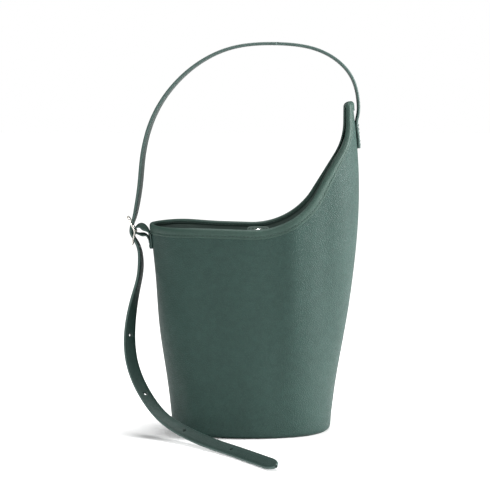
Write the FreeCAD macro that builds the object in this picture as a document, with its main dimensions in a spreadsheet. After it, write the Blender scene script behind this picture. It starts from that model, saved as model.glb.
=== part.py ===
"""Asymmetric bucket bag with a buckled shoulder strap, in millimetres.

Origin: centre of the base, on the surface that the bag stands on. +X points to the tall peak
that carries the strap, -X to the buckle, -Y to the front, +Z up.
"""
import FreeCAD, Part
import math
import os
import Sketcher
from FreeCAD import Placement, Rotation, Vector

# ---------------------------------------------------------------- driving dimensions

SIZES = {
    # oval plan of the bag at seven heights: height, half width, half depth, shift of the centre
    "level_0": 0, "half_width_0": 91.7, "half_depth_0": 70, "centre_0": -0.7,
    "level_1": 60, "half_width_1": 98.6, "half_depth_1": 71.5, "centre_1": -0.2,
    "level_2": 120, "half_width_2": 108.2, "half_depth_2": 73.5, "centre_2": 0.8,
    "level_3": 180, "half_width_3": 114.6, "half_depth_3": 75.8, "centre_3": 2.8,
    "level_4": 240, "half_width_4": 120, "half_depth_4": 78, "centre_4": 2.8,
    "level_5": 310, "half_width_5": 119.5, "half_depth_5": 78, "centre_5": 3.5,
    "level_6": 386, "half_width_6": 112, "half_depth_6": 76, "centre_6": 3.2,
    "end_roundness": 0.93,      # radius of the plan's ends, as a share of the half depth
    # how far each surface of the wall stands out from the outside of the leather
    "grow_binding_face": 1.3, "floor_binding_face": 0,
    "grow_binding_bed": 0.1, "floor_binding_bed": 0,
    "grow_leather_face": 0, "floor_leather_face": 0,
    "grow_leather_back": -1.8, "floor_leather_back": 1.8,
    "grow_lining_back": -2.7, "floor_lining_back": 4.0,
    "grow_lining_face": -3.4, "floor_lining_face": 4.7,
    "grow_inner_bed": -3.5, "floor_inner_bed": 4.8,
    "grow_inner_face": -4.7, "floor_inner_face": 6,
    "foot_round": 6,            # radius where the wall turns under
    # the rim: it tilts down to a bend, climbs a straight slope and bends upright at the peak
    "rim_low": 237.5, "rim_tilt": 1.7, "low_bend": 84, "low_bend_x": 1,
    "high_bend": 70, "high_bend_z": 357.3, "peak_edge": 110.4, "peak_top": 381.5,
    "peak_round": 5.2, "binding_thick": 1.3, "band_depth": 11, "band_edge_on": 4.4,
    "inner_band_depth": 5.5, "inner_band_edge_on": 2.2,
    # base: each plate's outline against the outside of the leather, its underside and thickness
    "grow_base_core": -6.2, "low_base_core": -1, "thick_base_core": 13,
    "grow_base_panel": -6.35, "low_base_panel": 0, "thick_base_panel": 1.8,
    "grow_base_board": -5.5, "low_base_board": 2.0, "thick_base_board": 1.8,
    "grow_base_lining": -6.35, "low_base_lining": 4.0, "thick_base_lining": 0.7,
    "zero": 0, "reach": 200, "sky": 470,    # tools reach past the bag on every side and above it
    # backing patches, between leather and lining
    "backing_half": 14, "peak_backing_low": 322, "peak_backing_high": 364,
    "tab_backing_low": 200, "tab_backing_high": 232,
    # magnetic snap on its leather patches
    "snap_x": 8, "snap_z": 220.2, "snap_radius": 9, "snap_thick": 2.4, "magnet_radius": 6.5,
    "magnet_thick": 1.0, "stud_radius": 3, "stud_thick": 1.4, "stud_bore": 3.3, "wall_lean": 2.4,
    "patch_wide": 27, "patch_tall": 23.4, "patch_thick": 1.5, "patch_round": 4, "patch_y": 73.0,
    # strap and tab
    "strap_wide": 16, "strap_thick": 3.3, "anchor_low": 328, "anchor_high": 359,
    "anchor_sewn_high": 355,
    "tab_wide": 15, "tab_thick": 1.6, "tab_low": 211, "tab_sewn_high": 221, "tab_over_band": 226.5,
    "tab_slot_wide": 4.4, "tab_slot_reach": 4, "ply_gap": 0.15,
    "hole_radius": 2, "prong_slot_wide": 4.2, "prong_slot_low": 232.5, "prong_slot_long": 9.5,
    # buckle
    "bar_x": -135.3, "bar_z": 232, "bar_radius": 1.2, "wire_radius": 1.0, "buckle_half": 10,
    "leg": 16.5, "upper_lean": 25.8, "lower_lean": 11, "corner_round": 3.2,
    "prong_wide": 3, "prong_thick": 1.5, "prong_ring": 2.4, "prong_play": 0.05, "prong_reach": 20.4,
    "prong_lean": 33.6,
    # stitches
    "thread_radius": 0.35, "stitch_long": 3.0, "stitch_step": 4.2, "stitch_inset": 2,
    "stitch_from_end": 1,
}

doc = FreeCAD.newDocument("bucket_bag")
sheet = doc.addObject("Spreadsheet::Sheet", "Sizes")
for row, (alias, number) in enumerate(SIZES.items(), start=1):
    sheet.set(f"A{row}", alias)
    sheet.set(f"B{row}", str(number))
    sheet.setAlias(f"B{row}", alias)
doc.recompute()

LEVELS = range(7)
FAR = "Sizes.reach"
parts = {}


def size(alias):
    """The number in one cell of the sheet."""
    return float(sheet.get(alias))


def bind(thing, **rules):
    """Bind properties to the sheet; a double underscore stands for a dot."""
    for name, rule in rules.items():
        thing.setExpression(name.replace("__", "."), rule)


def keep(name, thing):
    """Name the finished object of one sub-part."""
    thing.Label = name
    parts[name] = thing


def feature(name, shape):
    """A Part::Feature for a shape that no primitive or sketch gives."""
    thing = doc.addObject("Part::Feature", name)
    thing.Shape = shape
    thing.Placement = Placement()
    return thing


# ---------------------------------------------------------------- primitives and booleans

def box(name, x, y, z, length, width, height):
    """A box from its low corner and its three sides, all as expressions."""
    thing = doc.addObject("Part::Box", name)
    bind(thing, Length=length, Width=width, Height=height)
    bind(thing, Placement__Base__x=x, Placement__Base__y=y, Placement__Base__z=z)
    return thing


def cylinder_along_y(name, x, y, z, radius, height):
    """A cylinder whose axis runs along +Y from its start point."""
    thing = doc.addObject("Part::Cylinder", name)
    thing.Placement = Placement(Vector(), Rotation(Vector(1, 0, 0), -90))
    bind(thing, Radius=radius, Height=height)
    bind(thing, Placement__Base__x=x, Placement__Base__y=y, Placement__Base__z=z)
    return thing


def cut(name, base, tool):
    thing = doc.addObject("Part::Cut", name)
    thing.Base = base
    thing.Tool = tool
    return thing


def common(name, first, second):
    thing = doc.addObject("Part::Common", name)
    thing.Base = first
    thing.Tool = second
    return thing


def fuse(name, *pieces):
    thing = doc.addObject("Part::MultiFuse", name)
    thing.Shapes = list(pieces)
    thing.Refine = True
    return thing


def mirror_to_front(name, source):
    """The same piece on the front (-Y) side."""
    thing = doc.addObject("Part::Mirroring", name)
    thing.Source = source
    thing.Normal = Vector(0, 1, 0)
    return thing


# ---------------------------------------------------------------- the bag's form

def half_oval(name, level, grow):
    """Back half of the four-arc oval plan at one level, moved outwards by the cell `grow`."""
    width, depth = size(f"half_width_{level}"), size(f"half_depth_{level}")
    shift, out = size(f"centre_{level}"), size(grow)
    end_radius = size("end_roundness") * depth
    run = width - end_radius
    side_radius = (run ** 2 + depth ** 2 - end_radius ** 2) / (2 * (depth - end_radius))
    side_low = side_radius - depth
    turn = math.atan2(side_low, run)
    up = Vector(0, 0, 1)
    sketch = doc.addObject("Sketcher::SketchObject", name)
    sketch.addGeometry([
        Part.LineSegment(Vector(shift - width - out, 0, 0), Vector(shift + width + out, 0, 0)),
        Part.ArcOfCircle(Part.Circle(Vector(shift + run, 0, 0), up, end_radius + out), 0, turn),
        Part.ArcOfCircle(Part.Circle(Vector(shift, -side_low, 0), up, side_radius + out),
                         turn, math.pi - turn),
        Part.ArcOfCircle(Part.Circle(Vector(shift - run, 0, 0), up, end_radius + out),
                         math.pi - turn, math.pi),
    ])
    rule = Sketcher.Constraint
    sketch.addConstraint([
        rule("Tangent", 1, 2, 2, 1), rule("Tangent", 2, 2, 3, 1),
        rule("Coincident", 0, 2, 1, 1), rule("Coincident", 0, 1, 3, 2),
        rule("PointOnObject", 0, 1, -1), rule("PointOnObject", 0, 2, -1),
        rule("PointOnObject", 1, 3, -1), rule("PointOnObject", 3, 3, -1),
        rule("Equal", 1, 3),
    ])
    w, d = f"Sizes.half_width_{level}", f"Sizes.half_depth_{level}"
    q, c, g = "Sizes.end_roundness", f"Sizes.centre_{level}", f"Sizes.{grow}"
    low = f"((({w} - {q} * {d}) ^ 2 + {d} ^ 2 * (1 - {q} ^ 2)) / (2 * (1 - {q}) * {d}) - {d})"
    driven = [
        (rule("DistanceX", -1, 1, 0, 2, shift + width + out), f"{c} + {w} + {g}"),
        (rule("DistanceX", -1, 1, 0, 1, shift - width - out), f"{c} - {w} - {g}"),
        (rule("Radius", 1, end_radius + out), f"{q} * {d} + {g}"),
        (rule("DistanceY", -1, 1, 2, 3, -side_low), f"-{low}"),
    ]
    for constraint, expression in driven:
        index = sketch.addConstraint(constraint)
        sketch.setExpression(f"Constraints[{index}]", expression)
    return sketch


def half_form(surface):
    """Back half of the solid inside one surface of the wall, rounded at the foot."""
    sections = []
    for level in LEVELS:
        sketch = half_oval(f"{surface}_{level}", level, f"grow_{surface}")
        height = f"Sizes.level_{level}"
        if level == 0:
            height += f" + Sizes.floor_{surface}"
        sketch.setExpression("Placement.Base.z", height)
        sections.append(sketch)
    loft = doc.addObject("Part::Loft", f"{surface}_loft")
    loft.Sections = sections
    loft.Solid = True
    loft.Ruled = False
    doc.recompute()
    low = size(f"floor_{surface}")
    radius = size("foot_round") - max(0, -size(f"grow_{surface}"))
    foot = []
    for number, edge in enumerate(loft.Shape.Edges, start=1):
        at_foot = edge.BoundBox.ZMax < low + 0.01
        in_middle_plane = edge.BoundBox.YMax < 0.01
        if at_foot and not in_middle_plane:
            foot.append((number, radius, radius))
    form = doc.addObject("Part::Fillet", f"{surface}_form")
    form.Base = loft
    form.Edges = foot
    return form


def above_rim(name, side="zero", low="zero"):
    """Everything above the rim line, with the line moved in by cell `side` and down by `low`.

    The line is a tilted run, two bends joined by their common tangent, the peak's upright edge
    and its round shoulder.
    """
    aside, down, reach, sky = size(side), size(low), size("reach"), size("sky")
    tilt = math.radians(size("rim_tilt"))
    low_middle = Vector(size("low_bend_x"), size("rim_low") + size("low_bend"), 0)
    high_middle = Vector(size("peak_edge") - size("high_bend"), size("high_bend_z"), 0)
    low_radius, high_radius = size("low_bend") + down, size("high_bend") + aside
    between = high_middle - low_middle
    slope = (math.atan2(between.y, between.x)
             + math.asin((low_radius - high_radius) / between.Length))
    edge, top = size("peak_edge") + aside, size("peak_top") - down
    shoulder = size("peak_round") - aside
    down_turn, right = 1.5 * math.pi, 2 * math.pi

    def on_bend(middle, radius, turn):
        return middle + Vector(math.cos(turn), math.sin(turn), 0) * radius

    foot = on_bend(low_middle, low_radius, down_turn - tilt)
    start = Vector(-reach, foot.y + (foot.x + reach) * math.tan(tilt), 0)
    up = Vector(0, 0, 1)
    corners = [Vector(edge + shoulder, top, 0), Vector(reach, top, 0), Vector(reach, sky, 0),
               Vector(-reach, sky, 0), start]
    sketch = doc.addObject("Sketcher::SketchObject", f"{name}_line")
    sketch.Placement = Placement(Vector(), Rotation(Vector(1, 0, 0), 90))
    sketch.addGeometry([
        Part.LineSegment(start, foot),
        Part.ArcOfCircle(Part.Circle(low_middle, up, low_radius), down_turn - tilt,
                         down_turn + slope),
        Part.LineSegment(on_bend(low_middle, low_radius, down_turn + slope),
                         on_bend(high_middle, high_radius, down_turn + slope)),
        Part.ArcOfCircle(Part.Circle(high_middle, up, high_radius), down_turn + slope, right),
        Part.LineSegment(Vector(edge, high_middle.y, 0), Vector(edge, top - shoulder, 0)),
        Part.ArcOfCircle(Part.Circle(Vector(edge + shoulder, top - shoulder, 0), up, shoulder),
                         math.pi / 2, math.pi),
        *(Part.LineSegment(first, second) for first, second in zip(corners, corners[1:])),
    ])
    rule = Sketcher.Constraint
    sketch.addConstraint([
        rule("Tangent", 0, 2, 1, 1), rule("Tangent", 1, 2, 2, 1), rule("Tangent", 2, 2, 3, 1),
        rule("Tangent", 3, 2, 4, 1), rule("Tangent", 4, 2, 5, 2), rule("Tangent", 5, 1, 6, 1),
        rule("Coincident", 6, 2, 7, 1), rule("Coincident", 7, 2, 8, 1),
        rule("Coincident", 8, 2, 9, 1), rule("Coincident", 9, 2, 0, 1),
        rule("Vertical", 4), rule("Horizontal", 6), rule("Vertical", 7), rule("Horizontal", 8),
        rule("Vertical", 9),
    ])
    shoulder_rule = f"Sizes.peak_round - Sizes.{side}"
    driven = [
        (rule("DistanceX", -1, 1, 1, 3, low_middle.x), "Sizes.low_bend_x"),
        (rule("DistanceY", -1, 1, 1, 3, low_middle.y), "Sizes.rim_low + Sizes.low_bend"),
        (rule("DistanceX", -1, 1, 3, 3, high_middle.x), "Sizes.peak_edge - Sizes.high_bend"),
        (rule("DistanceY", -1, 1, 3, 3, high_middle.y), "Sizes.high_bend_z"),
        (rule("Radius", 1, low_radius), f"Sizes.low_bend + Sizes.{low}"),
        (rule("Radius", 3, high_radius), f"Sizes.high_bend + Sizes.{side}"),
        (rule("Radius", 5, shoulder), shoulder_rule),
        (rule("DistanceY", -1, 1, 5, 3, top - shoulder),
         f"Sizes.peak_top - Sizes.{low} - ({shoulder_rule})"),
        (rule("DistanceX", -1, 1, 7, 1, reach), FAR),
        (rule("DistanceY", -1, 1, 8, 1, sky), "Sizes.sky"),
        (rule("DistanceX", -1, 1, 9, 1, -reach), f"-{FAR}"),
        (rule("Angle", 0, -tilt), "-Sizes.rim_tilt * 1 deg"),
    ]
    for constraint, expression in driven:
        index = sketch.addConstraint(constraint)
        sketch.setExpression(f"Constraints[{index}]", expression)
    tool = doc.addObject("Part::Extrusion", name)
    tool.Base = sketch
    tool.DirMode = "Custom"
    tool.Dir = Vector(0, 1, 0)
    tool.Solid = True
    bind(tool, LengthFwd=FAR, LengthRev=FAR)
    return tool


# ---------------------------------------------------------------- walls, base and rim

def plate(name):
    """Back half of an oval plate of the base."""
    sketch = half_oval(f"{name}_plan", 0, f"grow_{name}")
    sketch.setExpression("Placement.Base.z", f"Sizes.low_{name}")
    slab = doc.addObject("Part::Extrusion", f"{name}_half")
    slab.Base = sketch
    slab.DirMode = "Custom"
    slab.Dir = Vector(0, 0, 1)
    slab.Solid = True
    bind(slab, LengthFwd=f"Sizes.thick_{name}")
    return slab


def make_base():
    for name in ("base_panel", "base_board", "base_lining"):
        half = plate(name)
        keep(name, fuse(name, half, mirror_to_front(f"{name}_front", half)))


def make_walls(form, under_rim):
    """Leather panels and linings, open at the rim and round the base plates."""
    core = plate("base_core")
    for name, outside, inside in (("panel", "leather_face", "leather_back"),
                                  ("lining", "lining_back", "lining_face")):
        shell = cut(f"{name}_shell", form[outside], form[inside])
        trimmed = cut(f"{name}_trimmed", shell, under_rim)
        back = cut(f"back_{name}", trimmed, core)
        keep(f"back_{name}", back)
        keep(f"front_{name}", mirror_to_front(f"front_{name}", back))


def make_binding(form, above, under_rim, outer_band, inner_band):
    """The folded strip round the rim: an outer ply, an inner ply and the fold over the edge."""
    outer = common("outer_ply", cut("outer_skin", form["binding_face"], form["binding_bed"]),
                   outer_band)
    inner = common("inner_ply", cut("inner_skin", form["inner_bed"], form["inner_face"]),
                   inner_band)
    fold = common("fold", cut("fold_skin", form["binding_face"], form["inner_face"]), under_rim)
    half = cut("binding_half", fuse("binding_plies", outer, inner, fold), above)
    keep("rim_binding", fuse("rim_binding", half, mirror_to_front("binding_front", half)))


def make_backings(form):
    """Hidden patches between leather and lining where the strap and the tab pull."""
    space = cut("backing_space", form["leather_back"], form["lining_back"])
    for name, x in (("peak_backing", "0"), ("tab_backing", f"-{FAR}")):
        block = box(f"{name}_block", x, "0", f"Sizes.{name}_low", FAR, "Sizes.backing_half",
                    f"Sizes.{name}_high - Sizes.{name}_low")
        half = common(f"{name}_half", space, block)
        keep(name, fuse(name, half, mirror_to_front(f"{name}_front", half)))


# ---------------------------------------------------------------- magnetic snap

def make_snap(form):
    """Patches on the linings, the two snap halves and the plates that hold them from behind."""
    space = cut("washer_space", form["leather_back"], form["lining_back"])
    rod = cylinder_along_y("washer_rod", "Sizes.snap_x", "0", "Sizes.snap_z",
                           "Sizes.snap_radius", FAR)
    washer = common("socket_washer", space, rod)
    keep("socket_washer", washer)
    keep("stud_washer", mirror_to_front("stud_washer", washer))

    lean = Placement(Vector(size("snap_x"), size("patch_y"), size("snap_z")),
                     Rotation(Vector(1, 0, 0), -size("wall_lean")))
    block = doc.addObject("Part::Box", "patch_block")
    bind(block, Length="Sizes.patch_wide", Width="Sizes.patch_thick", Height="Sizes.patch_tall")
    bind(block, Placement__Base__x="-Sizes.patch_wide / 2", Placement__Base__y="-Sizes.patch_thick",
         Placement__Base__z="-Sizes.patch_tall / 2")
    doc.recompute()
    corners = []
    for number, edge in enumerate(block.Shape.Edges, start=1):
        if abs(edge.tangentAt(edge.FirstParameter).y) > 0.99:
            corners.append((number, size("patch_round"), size("patch_round")))
    patch = doc.addObject("Part::Fillet", "back_snap_patch")
    patch.Base = block
    patch.Edges = corners
    patch.Placement = lean
    keep("back_snap_patch", patch)
    keep("front_snap_patch", mirror_to_front("front_snap_patch", patch))

    def disc(name, start, radius, thick):
        """A disc that faces the middle of the bag, `start` in front of the patch's back face."""
        return cylinder_along_y(name, "0", f"-({start}) - ({thick})", "0", radius, thick)

    face = "Sizes.patch_thick + 0.05"
    casing = disc("socket_casing", face, "Sizes.snap_radius", "Sizes.snap_thick")
    pocket = disc("socket_pocket", f"{face} + Sizes.snap_thick - Sizes.magnet_thick",
                  "Sizes.magnet_radius", "2 * Sizes.magnet_thick")
    socket = cut("snap_socket", casing, pocket)
    socket.Placement = lean
    keep("snap_socket", socket)
    ring = disc("magnet_ring", f"{face} + Sizes.snap_thick - Sizes.magnet_thick + 0.05",
                "Sizes.magnet_radius - 0.1", "Sizes.magnet_thick")
    bore = disc("magnet_bore", face, "Sizes.stud_bore", "2 * Sizes.snap_thick")
    magnet = cut("snap_magnet", ring, bore)
    magnet.Placement = lean
    keep("snap_magnet", magnet)
    base = disc("stud_base", face, "Sizes.snap_radius", "Sizes.magnet_thick")
    nub = disc("stud_nub", f"{face} + Sizes.magnet_thick", "Sizes.stud_radius",
               "Sizes.stud_thick")
    stud = fuse("stud_back_side", base, nub)
    stud.Placement = lean
    keep("snap_stud", mirror_to_front("snap_stud", stud))


# ---------------------------------------------------------------- leather strips

def smooth_line(points):
    line = Part.BSplineCurve()
    line.interpolate(points)
    return line


def ribbon(points, thick, wide):
    """A flat strip that bends in the XZ plane, from the (x, z) points of its middle line."""
    middle = [Vector(x, -wide / 2, z) for x, z in points]
    line = smooth_line(middle)
    sides = []
    for side in (thick / 2, -thick / 2):
        moved = []
        for point in middle:
            along = line.tangent(line.parameter(point))[0]
            moved.append(point + Vector(-along.z, 0, along.x) * side)
        sides.append(smooth_line(moved).toShape())
    first, second = sides
    start = Part.makeLine(first.firstVertex().Point, second.firstVertex().Point)
    end = Part.makeLine(first.lastVertex().Point, second.lastVertex().Point)
    outline = Part.Wire(Part.__sortEdges__([first, end, second, start]))
    return Part.Face(outline).extrude(Vector(0, wide, 0))


def wall_x(side, height):
    """Where the outside of the leather stands at one end of the bag (side -1 or 1)."""
    line = smooth_line([Vector(size(f"centre_{n}") + side * size(f"half_width_{n}"), 0,
                               size(f"level_{n}")) for n in LEVELS])
    low, high = line.FirstParameter, line.LastParameter
    for _ in range(40):
        middle = (low + high) / 2
        if line.value(middle).z < height:
            low = middle
        else:
            high = middle
    return line.value(low).x


# middle of the folded tab between its sewn ends, x and z: over the gap, then under it
TAB_ARCH = [(-119.4, 231), (-121.6, 234.5), (-125.2, 237.7), (-129.3, 238.9), (-133, 237.1)]
TAB_UNDER = [(-130.6, 228.4), (-126.3, 228.1), (-122.3, 226.9), (-120, 223.3)]
TAB_AROUND = range(115, 256, 28)        # degrees round the centre bar


def make_tab():
    """A strip folded round the centre bar, both ends sewn to the wall, the top ply underneath."""
    thick, bar_x, bar_z = size("tab_thick"), size("bar_x"), size("bar_z")
    inner = size("ply_gap") + thick / 2
    outer = inner + thick + size("ply_gap")
    low, high, over_band = size("tab_low"), size("tab_sewn_high"), size("tab_over_band")
    turn = size("bar_radius") + inner
    around = []
    for angle in TAB_AROUND:
        a = math.radians(angle)
        around.append((bar_x + turn * math.cos(a), bar_z + turn * math.sin(a)))
    sewn = (low, (low + high) / 2, high)
    route = [(wall_x(-1, height) - inner, height) for height in sewn]
    route.append((wall_x(-1, over_band) - size("binding_thick") - inner, over_band))
    route += [*TAB_ARCH, *around, *TAB_UNDER]
    route += [(wall_x(-1, height) - outer, height) for height in (high - 2, *reversed(sewn[:2]))]
    strip = ribbon(route, thick, size("tab_wide"))
    slot, slot_reach = size("tab_slot_wide"), size("tab_slot_reach")
    window = Part.makeBox(2 * slot_reach, slot, 2 * slot_reach,
                          Vector(bar_x - slot_reach, -slot / 2, bar_z - slot_reach))
    keep("buckle_tab", feature("buckle_tab", strip.cut(window)))


def stitch_rows(name, side, low_cell, high_cell, off_wall):
    """Two rows of stitches up a leather end, `off_wall` out from the wall behind it."""
    low, high = size(low_cell) + size("stitch_from_end"), size(high_cell)
    step, long, radius = size("stitch_step"), size("stitch_long"), size("thread_radius")
    half = size("tab_wide") / 2 - size("stitch_inset")
    off = side * (off_wall + radius + size("ply_gap"))
    foot = Vector(wall_x(side, low) + off, 0, low)
    along = Vector(wall_x(side, high) + off, 0, high) - foot
    along.normalize()
    threads = []
    for y in (-half, half):
        start = foot + Vector(0, y, 0)
        for number in range(int((high - low) / step)):
            threads.append(Part.makeCylinder(radius, long, start + along * (number * step), along))
    keep(name, feature(name, Part.makeCompound(threads)))


# middle of the strap, x and z: the arc, then the stretch that is threaded through the buckle
ARC = [(-133.6, 258), (-129.3, 285), (-126.6, 313), (-114, 362), (-83, 407), (-27, 441.4),
       (29, 447.3), (84, 436.7), (115.3, 408), (122.4, 382), (122.2, 366)]
THREADED = [(-135.2, 250.5), (-136.2, 246.5), (-138.3, 240), (-140, 233.5), (-139.7, 229),
            (-137, 224), (-133.4, 218), (-131.2, 212.5)]
ANCHOR_LIFT = 0.5       # the top of the sewn end stands off the wall where the arc leaves it


def make_strap():
    """The one strap in its four lengths, parted where the leather flexes."""
    thick, wide = size("strap_thick"), size("strap_wide")
    low, high = size("anchor_low"), size("anchor_high")
    off = size("ply_gap") + thick / 2
    anchor = [(wall_x(1, height) + off, height) for height in (low, (low + high) / 2)]
    anchor.append((wall_x(1, high) + off + ANCHOR_LIFT, high))
    for name, route in (("strap_anchor", anchor), ("shoulder_strap", ARC)):
        keep(name, feature(name, ribbon(route, thick, wide)))

    slot = size("prong_slot_wide")
    window = Part.makeBox(4 * thick, slot, size("prong_slot_long"),
                          Vector(THREADED[3][0] - 2 * thick, -slot / 2, size("prong_slot_low")))
    threaded = ribbon(THREADED, thick, wide).cut(window)
    keep("strap_in_buckle", feature("strap_in_buckle", threaded))


# middle of the free end: x, y, z, turn of the strap about the vertical, tilt of its width,
# share of its full width, and whether a hole is punched there
TAIL = [
    (-130.8, 0, 211.6, 6, 0, 1, False),
    (-128.9, -1, 197, 13, 0, 1, False),
    (-129.9, -5, 180, 15, 0, 1, False),
    (-134.2, -11, 160, 21.5, 0, 1, False),
    (-138.4, -18.5, 138, 34, 0, 1, False),
    (-140.6, -26, 113, 46, 0, 1, True),
    (-137.2, -37, 82.5, 55, 2, 1, False),
    (-121.5, -54, 49, 60, 5, 1, True),
    (-101, -73, 26.5, 58, 12, 1, False),
    (-75.4, -98, 14, 56, 25, 1, True),
    (-48.5, -131, 8.1, 53, 27, 1, False),
    (-22.5, -166, 6, 57, 28, 1, True),
    (3.5, -211, 5.6, 60, 29, 1, False),
    (16.5, -235, 5.6, 60, 29, 1, False),
    (21.3, -244, 5.3, 60, 29, 0.82, False),
    (23.6, -248.5, 4.2, 60, 27, 0.45, False),
]


def make_tail():
    """The free end: it hangs from the buckle, twists to face forward and lies on the floor."""
    thick, wide = size("strap_thick"), size("strap_wide")
    spots = [Vector(x, y, z) for x, y, z, *_ in TAIL]
    line = smooth_line(spots)
    sections, punches = [], []
    for spot, (_, _, _, turn, tilt, share, punched) in zip(spots, TAIL):
        along = Vector(*line.tangent(line.parameter(spot))[0])
        turn, tilt = math.radians(turn), math.radians(tilt)
        across = Vector(math.sin(turn) * math.cos(tilt), math.cos(turn) * math.cos(tilt),
                        math.sin(tilt))
        across = (across - along * across.dot(along)).normalize()
        face = across.cross(along).normalize()
        half, deep = across * (wide * share / 2), face * (thick / 2)
        corners = [spot + half + deep, spot - half + deep, spot - half - deep, spot + half - deep]
        sections.append(Part.makePolygon(corners + corners[:1]))
        if punched:
            punches.append(Part.makeCylinder(size("hole_radius"), 4 * thick,
                                             spot - face * (2 * thick), face))
    strip = Part.makeLoft(sections, True, False)
    keep("strap_tail", feature("strap_tail", strip.cut(punches)))


# ---------------------------------------------------------------- buckle

def half_frame(name, lean):
    """One loop of the frame, leaning from the centre bar by `lean` degrees about Y."""
    quarter = Rotation(Vector(1, 1, 1), 120)
    pieces = []
    for end, side, turn in (("back", "", quarter),
                            ("front", "-", Rotation(Vector(1, 0, 0), 90) * quarter)):
        leg = doc.addObject("Part::Cylinder", f"{name}_{end}_leg")
        bind(leg, Radius="Sizes.wire_radius", Height="Sizes.leg - Sizes.corner_round",
             Placement__Base__y=f"{side}Sizes.buckle_half")
        corner = doc.addObject("Part::Torus", f"{name}_{end}_corner")
        corner.Placement = Placement(Vector(), turn)
        bind(corner, Radius1="Sizes.corner_round", Radius2="Sizes.wire_radius", Angle3="90",
             Placement__Base__y=f"{side}(Sizes.buckle_half - Sizes.corner_round)",
             Placement__Base__z="Sizes.leg - Sizes.corner_round")
        pieces += [leg, corner]
    span = "(Sizes.buckle_half - Sizes.corner_round)"
    pieces.append(cylinder_along_y(f"{name}_end_bar", "0", f"-{span}", "Sizes.leg",
                                   "Sizes.wire_radius", f"2 * {span}"))
    loop = fuse(name, *pieces)
    loop.Placement = Placement(Vector(size("bar_x"), 0, size("bar_z")),
                               Rotation(Vector(0, 1, 0), lean))
    return loop


def make_buckle():
    upper = half_frame("upper_loop", -size("upper_lean"))
    lower = half_frame("lower_loop", 180 + size("lower_lean"))
    bar = cylinder_along_y("centre_bar", "Sizes.bar_x", "-Sizes.buckle_half", "Sizes.bar_z",
                           "Sizes.bar_radius", "2 * Sizes.buckle_half")
    keep("buckle_frame", fuse("buckle_frame", upper, lower, bar))

    ring = cylinder_along_y("prong_eye", "0", "-Sizes.prong_wide / 2", "0",
                            "Sizes.prong_ring", "Sizes.prong_wide")
    shank = box("prong_shank", "-Sizes.prong_thick / 2", "-Sizes.prong_wide / 2", "0",
                "Sizes.prong_thick", "Sizes.prong_wide", "Sizes.prong_reach")
    bore = cylinder_along_y("prong_bore", "0", "-Sizes.prong_wide", "0",
                            "Sizes.bar_radius + Sizes.prong_play", "2 * Sizes.prong_wide")
    prong = cut("buckle_prong", fuse("prong_blank", ring, shank), bore)
    prong.Placement = Placement(Vector(size("bar_x"), 0, size("bar_z")),
                                Rotation(Vector(0, 1, 0), -size("prong_lean")))
    keep("buckle_prong", prong)


# ---------------------------------------------------------------- build and write

def main():
    form = {}
    for surface in ("binding_face", "binding_bed", "leather_face", "leather_back",
                    "lining_back", "lining_face", "inner_bed", "inner_face"):
        form[surface] = half_form(surface)
    above = above_rim("rim_top")
    under_rim = above_rim("rim_under", "binding_thick", "binding_thick")
    outer_band = above_rim("outer_band", "band_edge_on", "band_depth")
    inner_band = above_rim("inner_band", "inner_band_edge_on", "inner_band_depth")
    make_base()
    make_walls(form, under_rim)
    make_binding(form, above, under_rim, outer_band, inner_band)
    make_backings(form)
    make_snap(form)
    make_tab()
    stitch_rows("tab_stitching", -1, "tab_low", "tab_sewn_high",
                2 * (size("tab_thick") + size("ply_gap")))
    make_strap()
    stitch_rows("anchor_stitching", 1, "anchor_low", "anchor_sewn_high",
                size("strap_thick") + 2 * size("ply_gap"))
    make_tail()
    make_buckle()
    doc.recompute()

    for thing in doc.Objects:
        if {"Invalid", "Error"} & set(thing.State):
            raise RuntimeError(f"{thing.Name} failed: {thing.State}")
    for name, thing in parts.items():
        if thing.Shape.isNull() or not thing.Shape.isValid():
            raise RuntimeError(f"{name} has no valid shape")
    os.makedirs("parts", exist_ok=True)
    for name, thing in parts.items():
        thing.Shape.exportStep(f"parts/{name}.step")


main()
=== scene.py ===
"""Bucket bag with a buckled shoulder strap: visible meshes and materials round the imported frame.

Sizes are in millimetres and mesh_piece() turns them into metres. +X points to the tall peak,
-X to the buckle, -Y to the front, +Z up, and the bag stands on z = 0.
"""
from math import acos, asin, atan2, copysign, cos, exp, pi, radians, sin, sqrt, tan

import bmesh
import bpy
import numpy as np
from mathutils import Matrix, Vector


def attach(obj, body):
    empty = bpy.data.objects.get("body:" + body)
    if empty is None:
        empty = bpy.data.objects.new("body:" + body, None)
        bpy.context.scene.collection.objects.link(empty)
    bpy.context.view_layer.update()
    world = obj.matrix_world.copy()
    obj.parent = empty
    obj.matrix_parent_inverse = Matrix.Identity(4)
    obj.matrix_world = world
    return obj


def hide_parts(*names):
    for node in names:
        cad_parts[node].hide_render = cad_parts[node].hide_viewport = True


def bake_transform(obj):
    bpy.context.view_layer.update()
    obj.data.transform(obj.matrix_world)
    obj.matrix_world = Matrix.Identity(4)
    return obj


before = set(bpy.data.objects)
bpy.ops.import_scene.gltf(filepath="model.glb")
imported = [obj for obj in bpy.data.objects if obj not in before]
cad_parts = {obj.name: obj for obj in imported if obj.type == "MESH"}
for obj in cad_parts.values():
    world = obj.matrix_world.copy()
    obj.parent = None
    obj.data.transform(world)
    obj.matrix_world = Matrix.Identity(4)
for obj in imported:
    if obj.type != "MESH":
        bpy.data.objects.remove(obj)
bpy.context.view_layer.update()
MM = 0.001

# --- driving dimensions

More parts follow.
